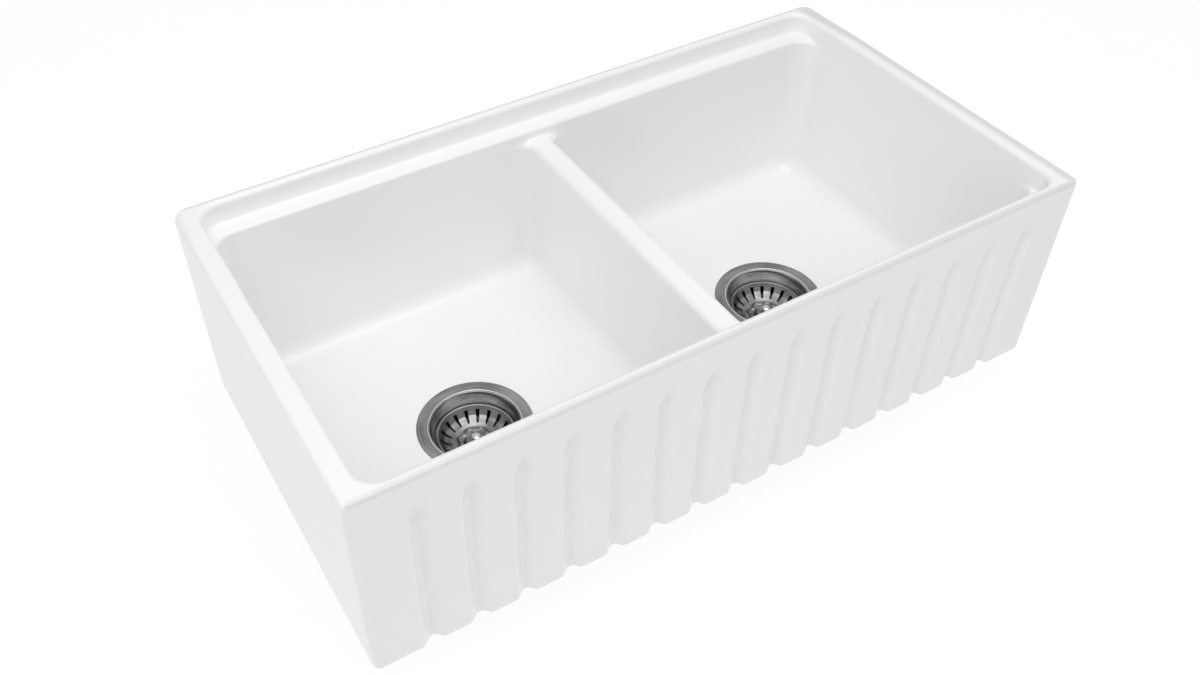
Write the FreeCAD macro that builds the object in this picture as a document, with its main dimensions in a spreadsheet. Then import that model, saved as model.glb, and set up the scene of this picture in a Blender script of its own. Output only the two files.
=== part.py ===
"""Fluted farmhouse sink: a fired clay basin with two bowls, and a basket strainer waste in each bowl.

Frame: origin on the underside, in the middle of the width and depth. +X runs along the apron to the
right, +Y from the apron to the back, +Z up. The apron, with its flutes, faces -Y. Millimetres.
"""
import FreeCAD, Part
import os
import re
from math import atan2

import Sketcher

# name, value, what it measures
SIZES = [
    # basin, outside
    ("basin_width", 762, "left to right"),
    ("basin_depth", 406, "apron to back"),
    ("basin_height", 228, "underside to rim"),
    ("edge_round", 7, "radius of the lower outer edges and the apron's upright edges"),
    ("back_corner", 15, "radius of the back's upright edges"),
    ("top_round", 5, "radius of the rim's outer edge"),
    # flutes of the apron
    ("flute_count", 15, "flutes across the apron"),
    ("flute_pitch", 46.35, "from flute to flute"),
    ("flute_radius", 7.5, "radius of the hollow"),
    ("flute_sink", 6, "depth of the hollow"),
    ("flute_lip", 3.5, "radius that eases the hollow into the face"),
    ("flute_headroom", 42.5, "plain band between the flutes and the rim"),
    # basin, inside
    ("side_wall", 20.5, "thickness of the end walls"),
    ("rim_lip", 9.8, "width of the rim above each ledge"),
    ("ledge_width", 20.2, "width of the front and back ledges"),
    ("ledge_drop", 24.5, "rim down to the ledges"),
    ("recess_corner", 20, "corner radius of the recess above the ledges"),
    ("rim_round", 4.5, "radius of the rim's inner edge"),
    ("divider_width", 25, "wall between the bowls"),
    ("divider_drop", 36, "rim down to the top of the divider"),
    ("floor_thickness", 22, "underside to the bowl floors"),
    ("bowl_corner", 28, "upright corner radius of the bowls"),
    ("floor_round", 22, "radius between floor and walls"),
    # waste holes in the basin
    ("drain_offset", 184.7, "middle of the basin to each waste, sideways"),
    ("drain_back", 189.5, "apron face to the waste axis"),
    ("drain_bore", 46.5, "radius of the hole"),
    ("seat_recess", 2.2, "depth of the flange's recess in the floor"),
    ("seat_clearance", 1, "recess beyond the flange"),
    ("clamp_face_sink", 4, "depth of the clamping face under the floor"),
    ("clamp_face_clearance", 5, "clamping face beyond the waste body"),
    # strainer cup of a 3 1/2 in waste
    ("flange_radius", 58.2, "outside of the flange"),
    ("flange_proud", 0.2, "flange above the bowl floor"),
    ("sheet_gauge", 0.8, "steel of the cup"),
    ("mouth_radius", 44.6, "mouth of the cup"),
    ("mouth_round", 1.6, "radius at the mouth"),
    ("shoulder_radius", 41.2, "outside of the shoulder"),
    ("shoulder_width", 3, "shoulder that backs the basket rim"),
    ("shoulder_depth", 14.8, "bowl floor down to the shoulder"),
    ("shoulder_fall", 0.8, "slope of the shoulder"),
    ("foot_radius", 37.4, "inside of the cup at its bottom"),
    ("cup_depth", 31, "bowl floor down to the cup bottom"),
    ("hub_bore", 6, "hole in the cup bottom for the bolt"),
    ("port_count", 8, "outlets in the cup bottom"),
    ("port_inner", 9.6, "inner end of an outlet"),
    ("port_outer", 17.4, "outer end of an outlet"),
    ("port_spoke", 2.4, "steel between the outlets"),
    # clamping parts of a waste
    ("gasket_overlap", 1.2, "flange beyond its gasket"),
    ("gasket_clearance", 1.2, "gaskets from the waste hole"),
    ("under_gasket", 2.5, "thickness of the lower gasket"),
    ("body_flange_radius", 55, "clamping flange of the waste body"),
    ("body_flange", 4, "thickness of that flange"),
    ("body_radius", 46, "outside of the waste body"),
    ("body_wall", 3, "wall of the waste body"),
    ("body_drop", 20, "straight part of the waste body"),
    ("funnel_drop", 18, "sloping part of the waste body"),
    ("outlet_radius", 23.9, "1 1/2 in pipe thread, outside"),
    ("outlet_wall", 3.9, "wall of the outlet"),
    ("outlet_length", 30, "outlet below the funnel"),
    ("outlet_chamfer", 1.5, "lead-in of the outlet"),
    ("web_count", 3, "webs that carry the boss"),
    ("web_thickness", 3, "thickness of a web"),
    ("boss_wall", 3, "wall of the boss round the insert"),
    ("insert_radius", 8, "outside of the brass insert"),
    ("insert_length", 14, "length of the brass insert"),
    ("insert_gap", 0.05, "insert in its boss, and bolt in the insert"),
    ("insert_depth", 44.5, "bowl floor down to the insert"),
    ("bolt_radius", 4.95, "M10 shank"),
    ("bolt_head_radius", 9, "head of the bolt"),
    ("bolt_head", 3, "height of the head"),
    ("bolt_length", 26, "under the head"),
    ("driver_slot", 2, "width of the head's slot"),
    ("driver_slot_sink", 1.2, "depth of the head's slot"),
    # basket
    ("rim_radius", 39.4, "outside of the basket"),
    ("rim_width", 2.2, "flat of the basket rim"),
    ("rim_height", 1.5, "turned-down edge of the basket rim"),
    ("rim_depth", 13, "bowl floor down to the basket rim"),
    ("basket_gauge", 0.7, "steel of the basket"),
    ("neck_radius", 36.6, "basket at its neck"),
    ("neck_depth", 15.6, "bowl floor down to the neck"),
    ("knee_radius", 32.4, "basket at the knee"),
    ("knee_depth", 21.3, "bowl floor down to the knee"),
    ("base_radius", 21.5, "flat base of the basket"),
    ("base_depth", 27.5, "bowl floor down to the base"),
    ("boss_radius", 12.5, "raised middle of the base"),
    ("boss_top_radius", 10.2, "top of the raised middle"),
    ("boss_height", 5.5, "height of the raised middle"),
    ("slot_count", 18, "slots round the basket"),
    ("slot_outer", 35.9, "outer end of a slot"),
    ("slot_inner", 25.4, "inner end of a slot"),
    ("slot_wide", 4.1, "width at the outer end"),
    ("slot_narrow", 1.6, "width at the inner end"),
    ("seal_inner", 13.5, "inside of the seal"),
    ("stem_radius", 2.2, "stem of the basket"),
    ("stem_running", 0.06, "stem in its bore"),
    ("stem_tail", 46, "bowl floor down to the stem's end"),
    ("collar_radius", 5, "collar under the basket"),
    ("collar", 1.5, "thickness of the collar"),
    ("tang_radius", 1.5, "stem above the collar"),
    ("tang_length", 4.5, "stem inside the knob"),
    ("groove_depth", 40, "bowl floor down to the clip"),
    ("groove_sink", 0.8, "depth of the clip's groove"),
    ("clip_height", 1.6, "height of the clip"),
    ("clip_split", 1.2, "gap of the clip"),
    ("bore_margin", 2, "blind end beyond the stem"),
    ("knob_radius", 5.2, "head of the knob"),
    ("knob_neck", 3.4, "neck of the knob"),
    ("knob_height", 6.8, "knob above the basket"),
    ("knob_head", 4.2, "height of the knob's head"),
    ("knob_round", 3, "radius of the knob's crown"),
    ("cutter_margin", 1, "how far a cutter passes the edge that it cuts through"),
]

doc = FreeCAD.newDocument("farmhouse_sink")
sheet = doc.addObject("Spreadsheet::Sheet", "Sizes")
for row, (alias, number, meaning) in enumerate(SIZES, start=1):
    sheet.set("A%d" % row, meaning)
    sheet.set("B%d" % row, str(number))
    sheet.setAlias("B%d" % row, alias)
doc.recompute()

# levels and places that several pieces share, as formulas on the sheet
FLOOR = "floor_thickness"
FLANGE_TOP = "(floor_thickness+flange_proud)"
CUP_PLATE = "(floor_thickness-cup_depth)"
SHOULDER = "(floor_thickness-shoulder_depth)"
BODY_TOP = "(clamp_face_sink-under_gasket)"
BODY_KNEE = "(clamp_face_sink-under_gasket-body_drop)"
BODY_NECK = "(clamp_face_sink-under_gasket-body_drop-funnel_drop)"
INSERT_TOP = "(floor_thickness-insert_depth)"
BASE = "(floor_thickness-base_depth)"
BOSS_TOP = "(floor_thickness-base_depth+boss_height)"
FACE = "(-basin_depth/2)"
LEDGE_EDGE = "(basin_depth/2-rim_lip-ledge_width)"
BOWL_SIDE = "(basin_width/2-side_wall)"
FIRST_FLUTE = "(-(flute_count-1)/2*flute_pitch)"
OUT_OF_FACE = 4     # how far a cutter starts outside the face that it cuts
NEAR = 0.01         # two places closer than this are the same place

PLAIN_WORDS = {"tan"}
sub_parts = []


def on_sheet(formula):
    """The formula with each size written as a cell of the sheet."""
    def cell(word):
        return word.group() if word.group() in PLAIN_WORDS else "Sizes." + word.group()
    return re.sub(r"[a-z][a-z_]+", cell, formula)


def value(formula):
    """The number that a formula on the sheet has now."""
    return float(sheet.evalExpression(on_sheet(formula)))


def new_body(name, side=0):
    """A body with its own label. side -1 or 1 puts it on the left or right waste's axis."""
    body = doc.addObject("PartDesign::Body", name)
    body.Label = name
    if side:
        body.setExpression("Placement.Base.x", on_sheet("%d*drain_offset" % side))
        body.setExpression("Placement.Base.y", on_sheet("drain_back-basin_depth/2"))
    sub_parts.append(body)
    return body


def new_sketch(body, name, plane, origin):
    """A sketch on one of the body's own planes, moved to origin (three formulas)."""
    sketch = body.newObject("Sketcher::SketchObject", name)
    sketch.AttachmentSupport = [(own_origin(body, plane), "")]
    sketch.MapMode = "FlatFace"
    for axis, formula in zip("xyz", origin):
        sketch.setExpression("AttachmentOffset.Base." + axis, on_sheet(formula))
    return sketch


def own_origin(body, role):
    """A plane or axis of the body's own origin."""
    return [item for item in body.Origin.OriginFeatures if item.Role == role][0]


def hold(sketch, kind, places, formula):
    """A dimension of the sketch, bound to the sheet."""
    number = sketch.addConstraint(Sketcher.Constraint(kind, *places, value(formula)))
    sketch.setExpression("Constraints[%d]" % number, on_sheet(formula))


def hold_point(sketch, edge, end, place):
    """The end of an edge, held from the sketch's origin."""
    hold(sketch, "DistanceX", (-1, 1, edge, end), place[0])
    hold(sketch, "DistanceY", (-1, 1, edge, end), place[1])


def polygon(body, name, plane, corners, origin=("0", "0", "0")):
    """A closed outline through corners, each a pair of formulas."""
    sketch = new_sketch(body, name, plane, origin)
    points = [FreeCAD.Vector(value(x), value(y), 0) for x, y in corners]
    count = len(points)
    for index, point in enumerate(points):
        sketch.addGeometry(Part.LineSegment(point, points[(index + 1) % count]), False)
    for index in range(count):
        sketch.addConstraint(Sketcher.Constraint("Coincident", index, 2, (index + 1) % count, 1))
    for index, corner in enumerate(corners):
        hold_point(sketch, index, 1, corner)
    return sketch


def rectangle(body, name, low, high, level="0"):
    """A rectangle seen from above, between two corners, at a level."""
    corners = [low, (high[0], low[1]), high, (low[0], high[1])]
    return polygon(body, name, "XY_Plane", corners, ("0", "0", level))


def circles(body, name, radii, centre=("0", "0"), level="0"):
    """One circle, or two about one centre, seen from above."""
    sketch = new_sketch(body, name, "XY_Plane", ("0", "0", level))
    middle = FreeCAD.Vector(value(centre[0]), value(centre[1]), 0)
    for index, radius in enumerate(radii):
        circle = Part.Circle(middle, FreeCAD.Vector(0, 0, 1), value(radius))
        sketch.addGeometry(circle, False)
        hold(sketch, "Radius", (index,), radius)
        hold_point(sketch, index, 3, centre)
    return sketch


def feature(body, kind, name, sketch, **formulas):
    """A sketched feature of the body, with its sizes bound to the sheet."""
    made = body.newObject("PartDesign::" + kind, name)
    made.Profile = sketch
    for size, formula in formulas.items():
        made.setExpression(size, on_sheet(formula))
    return made


def pad(body, name, sketch, height):
    return feature(body, "Pad", name, sketch, Length=height)


def pocket(body, name, sketch, depth, upward=False):
    """A cut below the sketch, or above it. It has to take material away."""
    doc.recompute()
    before = body.Tip.Shape.Volume
    made = feature(body, "Pocket", name, sketch, Length=depth)
    made.Reversed = upward
    doc.recompute()
    if made.Shape.Volume > before - NEAR:
        raise RuntimeError(name + " cuts nothing")
    return made


def turned(body, name, corners):
    """A body of revolution about the upright axis, from its half section."""
    section = polygon(body, name + "_section", "XZ_Plane", corners)
    made = feature(body, "Revolution", name, section)
    made.ReferenceAxis = (section, ["V_Axis"])
    made.Angle = 360
    return made


def repeat_round(body, name, originals, count):
    """Copies of features about the upright axis."""
    made = body.newObject("PartDesign::PolarPattern", name)
    made.Originals = originals
    made.Axis = (own_origin(body, "Z_Axis"), [""])
    made.Angle = 360
    made.setExpression("Occurrences", on_sheet(count))
    body.Tip = made
    return made


def ease(body, name, kind, size, chosen):
    """A fillet or chamfer on the edges for which chosen(edge) is true."""
    doc.recompute()
    shape = body.Tip.Shape
    names = ["Edge%d" % number for number, edge in enumerate(shape.Edges, start=1) if chosen(edge)]
    if not names:
        raise RuntimeError(name + " finds no edge")
    base = body.Tip
    made = body.newObject("PartDesign::" + kind, name)
    made.Base = (base, names)
    made.setExpression("Radius" if kind == "Fillet" else "Size", on_sheet(size))
    doc.recompute()
    return made


def upright(edge):
    """True for a straight vertical edge."""
    box = edge.BoundBox
    return box.XLength < NEAR and box.YLength < NEAR and box.ZLength > NEAR


def level_at(edge, height):
    """True for an edge that lies flat at a height."""
    return edge.BoundBox.ZLength < NEAR and abs(edge.BoundBox.ZMin - height) < NEAR


def ring_at(radius, height):
    """A test for the round edge of this radius and height."""
    def chosen(edge):
        box = edge.BoundBox
        return level_at(edge, height) and abs(box.XLength / 2 - radius) < NEAR
    return chosen


# ---------------------------------------------------------------- basin

def flute_section(body, name, plane, origin, half):
    """Cross-section of a flute: a hollow, eased into the face, which is the sketch's X axis.

    The hollow lies on the sketch's +Y side. Half of it is drawn for turning about its middle.
    """
    sketch = new_sketch(body, name, plane, origin)
    hollow, lip = value("flute_radius"), value("flute_lip")
    standoff = hollow - value("flute_sink")
    reach = ((hollow + lip) ** 2 - (standoff + lip) ** 2) ** 0.5
    share = hollow / (hollow + lip)
    middle = FreeCAD.Vector(0, -standoff, 0)
    right = FreeCAD.Vector(reach, lip, 0)
    left = FreeCAD.Vector(-reach, lip, 0)
    right_touch = middle + (right - middle) * share
    left_touch = middle + (left - middle) * share
    deepest = FreeCAD.Vector(0, hollow - standoff, 0)
    right_foot = FreeCAD.Vector(reach, 0, 0)
    left_foot = FreeCAD.Vector(-reach, 0, 0)
    out_right = FreeCAD.Vector(reach, -OUT_OF_FACE, 0)
    out_left = FreeCAD.Vector(-reach, -OUT_OF_FACE, 0)

    def arc(centre, radius, start, end):
        """Arc about centre, anticlockwise from start to end."""
        from_angle, to_angle = (atan2(point.y - centre.y, point.x - centre.x) for point in (start, end))
        circle = Part.Circle(centre, FreeCAD.Vector(0, 0, 1), radius)
        return Part.ArcOfCircle(circle, from_angle, to_angle)

    right_lip = arc(right, lip, right_touch, right_foot)
    if half:
        out_middle = FreeCAD.Vector(0, -OUT_OF_FACE, 0)
        outline = [arc(middle, hollow, right_touch, deepest), right_lip,
                   Part.LineSegment(right_foot, out_right), Part.LineSegment(out_right, out_middle),
                   Part.LineSegment(out_middle, deepest)]
    else:
        outline = [arc(middle, hollow, right_touch, left_touch), right_lip,
                   Part.LineSegment(right_foot, out_right), Part.LineSegment(out_right, out_left),
                   Part.LineSegment(out_left, left_foot), arc(left, lip, left_foot, left_touch)]
    for piece in outline:
        sketch.addGeometry(piece, False)
    bind_flute_section(sketch, len(outline), half)
    return sketch


def bind_flute_section(sketch, count, half):
    """Hold a flute's section: edge 0 is the hollow, 1 the right lip, then the lines, last a left lip."""
    hollow, right_lip, right_line, outer_line, left_line, left_lip = range(6)

    def join(kind, first, first_end, second, second_end):
        sketch.addConstraint(Sketcher.Constraint(kind, first, first_end, second, second_end))

    def hold_lip(lip, foot_end):
        hold(sketch, "Radius", (lip,), "flute_lip")
        hold(sketch, "DistanceY", (-1, 1, lip, 3), "flute_lip")
        join("Vertical", lip, foot_end, lip, 3)

    hold(sketch, "Radius", (hollow,), "flute_radius")
    hold_point(sketch, hollow, 3, ("0", "flute_sink-flute_radius"))
    join("Tangent", hollow, 1, right_lip, 1)
    hold_lip(right_lip, 2)
    join("Coincident", right_lip, 2, right_line, 1)
    join("Coincident", right_line, 2, outer_line, 1)
    join("Coincident", outer_line, 2, left_line, 1)
    for line, direction in ((right_line, "Vertical"), (outer_line, "Horizontal"), (left_line, "Vertical")):
        sketch.addConstraint(Sketcher.Constraint(direction, line))
    sketch.addConstraint(Sketcher.Constraint("DistanceY", -1, 1, right_line, 2, -OUT_OF_FACE))
    if half:
        join("Coincident", left_line, 2, hollow, 2)
        sketch.addConstraint(Sketcher.Constraint("PointOnObject", hollow, 2, -2))
    else:
        join("Coincident", left_line, 2, left_lip, 1)
        join("Tangent", left_lip, 2, hollow, 2)
        hold_lip(left_lip, 1)


def groove(body, name, section, axis, degrees, flip=False):
    """A cut that turns a section about an axis of its own sketch."""
    made = body.newObject("PartDesign::Groove", name)
    made.Profile = section
    made.ReferenceAxis = (section, [axis])
    made.Angle = degrees
    made.Reversed = flip
    doc.recompute()
    return made


def lower_edge_line(section):
    """A construction line in a flute's section, on the centre line of the rounded lower edge."""
    start, end = ("-flute_radius", "edge_round"), ("flute_radius", "edge_round")
    points = [FreeCAD.Vector(value(x), value(y), 0) for x, y in (start, end)]
    line = section.addGeometry(Part.LineSegment(*points), True)
    hold_point(section, line, 1, start)
    hold_point(section, line, 2, end)


def flutes(body):
    """A straight flute with a round head and a toe that follows the lower edge, then all the others."""
    head = "basin_height-flute_headroom-flute_radius"
    foot = (FIRST_FLUTE, FACE, "edge_round")
    shaft_section = flute_section(body, "flute_shaft_section", "XY_Plane", foot, False)
    shaft = pocket(body, "flute_shaft", shaft_section, head + "-edge_round", upward=True)
    crown_section = flute_section(body, "flute_head_section", "XY_Plane", (FIRST_FLUTE, FACE, head), True)
    crown = groove(body, "flute_head", crown_section, "V_Axis", 180, flip=True)
    toe_section = flute_section(body, "flute_toe_section", "XY_Plane", foot, False)
    lower_edge_line(toe_section)
    toe = groove(body, "flute_toe", toe_section, "Axis0", 90)
    pattern = body.newObject("PartDesign::LinearPattern", "all_flutes")
    pattern.Originals = [shaft, crown, toe]
    pattern.Direction = (own_origin(body, "X_Axis"), [""])
    pattern.setExpression("Length", on_sheet("(flute_count-1)*flute_pitch"))
    pattern.setExpression("Occurrences", on_sheet("flute_count"))
    body.Tip = pattern
    doc.recompute()


def fireclay_basin():
    """One fired piece: block, flutes, recess with its ledges, two bowls, low divider, waste holes."""
    body = new_body("fireclay_basin")
    half_width, half_depth = "basin_width/2", "basin_depth/2"
    outline = rectangle(body, "outline", ("-" + half_width, "-" + half_depth), (half_width, half_depth))
    pad(body, "block", outline, "basin_height")
    rim_level = value("basin_height")
    ease(body, "back_corners", "Fillet", "back_corner",
         lambda edge: upright(edge) and edge.BoundBox.YMin > 0)
    ease(body, "outer_edges", "Fillet", "edge_round",
         lambda edge: level_at(edge, 0) or upright(edge) and edge.BoundBox.YMax < 0)
    ease(body, "top_edges", "Fillet", "top_round", lambda edge: level_at(edge, rim_level))
    flutes(body)

    recess_edge = "(basin_depth/2-rim_lip)"
    recess = rectangle(body, "recess_outline", ("-" + BOWL_SIDE, "-" + recess_edge),
                       (BOWL_SIDE, recess_edge), "basin_height")
    pocket(body, "recess", recess, "ledge_drop")
    ledge_level = value("basin_height-ledge_drop")
    ease(body, "recess_corners", "Fillet", "recess_corner",
         lambda edge: upright(edge) and abs(edge.BoundBox.ZMin - ledge_level) < NEAR)

    for name, near, far in (("left_bowl", "(-divider_width/2)", "(-%s)" % BOWL_SIDE),
                            ("right_bowl", "(divider_width/2)", BOWL_SIDE)):
        low = (far if name == "left_bowl" else near, "-" + LEDGE_EDGE)
        high = (near if name == "left_bowl" else far, LEDGE_EDGE)
        bowl = rectangle(body, name + "_outline", low, high, "basin_height")
        pocket(body, name, bowl, "basin_height-floor_thickness")
    floor_level = value(FLOOR)
    ease(body, "bowl_corners", "Fillet", "bowl_corner",
         lambda edge: upright(edge) and abs(edge.BoundBox.ZMin - floor_level) < NEAR)
    saddle_side = "(divider_width/2+bowl_corner)"
    saddle = rectangle(body, "saddle_outline", ("-" + saddle_side, "-" + LEDGE_EDGE),
                       (saddle_side, LEDGE_EDGE), "basin_height")
    pocket(body, "saddle", saddle, "divider_drop")
    ease(body, "bowl_floors", "Fillet", "floor_round", lambda edge: level_at(edge, floor_level))
    ease(body, "rim_edge", "Fillet", "rim_round",
         lambda edge: level_at(edge, rim_level) and inside_rim(edge))
    waste_holes(body)
    return body


def inside_rim(edge):
    """True for an edge of the rim's top that borders the recess, not the outer edge."""
    box = edge.BoundBox
    half_width = value("basin_width/2-top_round") - NEAR
    half_depth = value("basin_depth/2-top_round") - NEAR
    return (max(abs(box.XMin), abs(box.XMax)) < half_width
            and max(abs(box.YMin), abs(box.YMax)) < half_depth)


def waste_holes(body):
    """In each floor a hole, a recess for the flange above and a flat clamping face below."""
    for side, name in ((-1, "left"), (1, "right")):
        centre = ("%d*drain_offset" % side, "drain_back-basin_depth/2")
        hole = circles(body, name + "_waste_hole_circle", ["drain_bore"], centre, FLOOR)
        pocket(body, name + "_waste_hole", hole, FLOOR)
        seat = circles(body, name + "_seat_circle", ["flange_radius+seat_clearance"], centre, FLOOR)
        pocket(body, name + "_seat", seat, "seat_recess")
        clamp_radius = "body_flange_radius+clamp_face_clearance"
        clamp = circles(body, name + "_clamp_circle", [clamp_radius], centre)
        pocket(body, name + "_clamp_face", clamp, "clamp_face_sink", upward=True)


# ---------------------------------------------------------------- wastes

def strainer_cup(name, side):
    """Pressed steel flange and cup, with a shoulder for the basket and outlets in its bottom."""
    body = new_body(name, side)
    corners = [
        ("flange_radius", FLANGE_TOP), ("mouth_radius", FLANGE_TOP),
        ("shoulder_radius", SHOULDER), ("shoulder_radius-shoulder_width", SHOULDER + "-shoulder_fall"),
        ("foot_radius", CUP_PLATE), ("hub_bore", CUP_PLATE),
        ("hub_bore", CUP_PLATE + "-sheet_gauge"), ("foot_radius+sheet_gauge", CUP_PLATE + "-sheet_gauge"),
        ("shoulder_radius-shoulder_width+sheet_gauge", SHOULDER + "-shoulder_fall-sheet_gauge"),
        ("shoulder_radius+sheet_gauge", SHOULDER + "-sheet_gauge"),
        ("mouth_radius+sheet_gauge", FLANGE_TOP + "-sheet_gauge"),
        ("flange_radius", FLANGE_TOP + "-sheet_gauge")]
    turned(body, "cup", corners)
    ease(body, "mouth", "Fillet", "mouth_round", ring_at(value("mouth_radius"), value(FLANGE_TOP)))
    ease(body, "mouth_back", "Fillet", "mouth_round+sheet_gauge",
         ring_at(value("mouth_radius+sheet_gauge"), value(FLANGE_TOP + "-sheet_gauge")))
    inner, outer = "port_inner", "port_outer"
    # half the chord of one outlet's share of the circle, less half a spoke
    half_chord = "%s*tan(180/port_count)-port_spoke/2"
    port = polygon(body, "port_outline", "XY_Plane",
                   [(inner, "-(" + half_chord % inner + ")"), (outer, "-(" + half_chord % outer + ")"),
                    (outer, half_chord % outer), (inner, half_chord % inner)], ("0", "0", CUP_PLATE))
    first = pocket(body, "port", port, "2*sheet_gauge")
    repeat_round(body, "ports", [first], "port_count")


def flange_gasket(name, side):
    """Soft ring between the flange and the bowl floor."""
    body = new_body(name, side)
    ring = circles(body, "ring", ["flange_radius-gasket_overlap", "drain_bore+gasket_clearance"],
                   level="floor_thickness-seat_recess")
    pad(body, "gasket", ring, "flange_proud-sheet_gauge+seat_recess")


def under_gasket(name, side):
    """Rubber ring between the waste body and the underside of the floor."""
    body = new_body(name, side)
    ring = circles(body, "ring", ["body_flange_radius", "drain_bore+gasket_clearance"], level=BODY_TOP)
    pad(body, "gasket", ring, "under_gasket")


def waste_body(name, side):
    """Moulded lower body: clamping flange, bowl, funnel, outlet and a boss carried by webs."""
    body = new_body(name, side)
    bore = "outlet_radius-outlet_wall"
    outlet_end = BODY_NECK + "-outlet_length"
    corners = [
        ("body_flange_radius", BODY_TOP), ("body_flange_radius", BODY_TOP + "-body_flange"),
        ("body_radius", BODY_TOP + "-body_flange"), ("body_radius", BODY_KNEE),
        ("outlet_radius", BODY_NECK), ("outlet_radius", outlet_end), (bore, outlet_end),
        (bore, BODY_NECK), ("body_radius-body_wall", BODY_KNEE), ("body_radius-body_wall", BODY_TOP)]
    turned(body, "shell", corners)
    ease(body, "lead_in", "Chamfer", "outlet_chamfer",
         ring_at(value("outlet_radius"), value(outlet_end)))
    boss_radius = "insert_radius+insert_gap+boss_wall"
    boss_end = INSERT_TOP + "-insert_length"
    web_top = "(%s-web_thickness/2)" % INSERT_TOP
    # a web runs from inside the boss to the middle of the shell's sloping wall
    slope = "(body_radius-body_wall-outlet_radius+outlet_wall)/funnel_drop"
    at_top = "%s+(%s-%s)*%s+body_wall/3" % (bore, web_top, BODY_NECK, slope)
    web = polygon(body, "web_outline", "YZ_Plane",
                  [("insert_radius", web_top), (at_top, web_top),
                   (bore + "+body_wall/3", BODY_NECK), ("insert_radius", BODY_NECK)])
    first = feature(body, "Pad", "web", web, Length="web_thickness")
    first.SideType = "Symmetric"
    repeat_round(body, "webs", [first], "web_count")
    pad(body, "boss", circles(body, "boss_circle", [boss_radius], level=boss_end), "insert_length")
    hole = circles(body, "boss_bore_circle", ["insert_radius+insert_gap"], level=INSERT_TOP)
    pocket(body, "boss_bore", hole, "insert_length")


def thread_insert(name, side):
    """Brass bush that takes the bolt's thread."""
    body = new_body(name, side)
    ring = circles(body, "ring", ["insert_radius", "bolt_radius+insert_gap"],
                   level=INSERT_TOP + "-insert_length")
    pad(body, "bush", ring, "insert_length")


def centre_bolt(name, side):
    """Hollow bolt that draws cup and body together and guides the basket's stem."""
    body = new_body(name, side)
    bore = "stem_radius+stem_running"
    head_top = CUP_PLATE + "+bolt_head"
    blind_end = "floor_thickness-stem_tail-bore_margin"
    tip = CUP_PLATE + "-bolt_length"
    corners = [(bore, head_top), ("bolt_head_radius", head_top), ("bolt_head_radius", CUP_PLATE),
               ("bolt_radius", CUP_PLATE), ("bolt_radius", tip), ("0", tip), ("0", blind_end),
               (bore, blind_end)]
    turned(body, "bolt", corners)
    slot = rectangle(body, "driver_slot_outline", ("-bolt_head_radius-cutter_margin", "-driver_slot/2"),
                     ("bolt_head_radius+cutter_margin", "driver_slot/2"), head_top)
    pocket(body, "driver_slot", slot, "driver_slot_sink")


def basket_cup(name, side):
    """Pressed steel basket: turned rim, slotted wall, flat base and raised middle."""
    body = new_body(name, side)
    rim_top = "floor_thickness-rim_depth"
    neck = "floor_thickness-neck_depth"
    knee = "floor_thickness-knee_depth"
    hole = "tang_radius+stem_running"
    gauge = "basket_gauge"
    corners = [
        ("rim_radius", rim_top), ("rim_radius-rim_width", rim_top), ("neck_radius", neck),
        ("knee_radius", knee), ("base_radius", BASE), ("boss_radius", BASE),
        ("boss_top_radius", BOSS_TOP), (hole, BOSS_TOP), (hole, BOSS_TOP + "-" + gauge),
        ("boss_top_radius-" + gauge, BOSS_TOP + "-" + gauge), ("boss_radius-" + gauge, BASE + "-" + gauge),
        ("base_radius+" + gauge + "/2", BASE + "-" + gauge),
        ("knee_radius+" + gauge, knee + "-" + gauge + "/2"),
        ("neck_radius+" + gauge, neck), ("rim_radius-" + gauge + "*2", rim_top + "-rim_height"),
        ("rim_radius", rim_top + "-rim_height")]
    turned(body, "pressing", corners)
    slot = polygon(body, "slot_outline", "XY_Plane",
                   [("slot_inner", "-slot_narrow/2"), ("slot_outer", "-slot_wide/2"),
                    ("slot_outer", "slot_wide/2"), ("slot_inner", "slot_narrow/2")],
                   ("0", "0", rim_top))
    first = pocket(body, "slot", slot, "base_depth-rim_depth+2*basket_gauge")
    repeat_round(body, "slots", [first], "slot_count")


def basket_seal(name, side):
    """Rubber ring under the basket that closes the cup's outlets."""
    body = new_body(name, side)
    ring = circles(body, "ring", ["base_radius", "seal_inner"], level=CUP_PLATE)
    pad(body, "seal", ring, "cup_depth-base_depth-basket_gauge")


def basket_stem(name, side):
    """Turned stem: tang for the knob, collar under the basket, shaft with a groove for the clip."""
    body = new_body(name, side)
    collar_top = BOSS_TOP + "-basket_gauge"
    collar_foot = collar_top + "-collar"
    groove_top = "floor_thickness-groove_depth"
    groove_foot = groove_top + "-clip_height"
    groove_radius = "stem_radius-groove_sink"
    tail = "floor_thickness-stem_tail"
    tang_top = BOSS_TOP + "+tang_length"
    corners = [("0", tang_top), ("tang_radius", tang_top), ("tang_radius", collar_top),
               ("collar_radius", collar_top), ("collar_radius", collar_foot),
               ("stem_radius", collar_foot), ("stem_radius", groove_top), (groove_radius, groove_top),
               (groove_radius, groove_foot), ("stem_radius", groove_foot), ("stem_radius", tail),
               ("0", tail)]
    turned(body, "stem", corners)


def stem_clip(name, side):
    """Split spring ring in the stem's groove, which snaps under the bolt."""
    body = new_body(name, side)
    ring = circles(body, "ring", ["stem_radius", "stem_radius-groove_sink+stem_running"],
                   level="floor_thickness-groove_depth-clip_height")
    pad(body, "clip", ring, "clip_height")
    split = rectangle(body, "split_outline", ("-clip_split/2", "0"),
                      ("clip_split/2", "stem_radius+cutter_margin"), "floor_thickness-groove_depth")
    pocket(body, "split", split, "clip_height")


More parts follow.
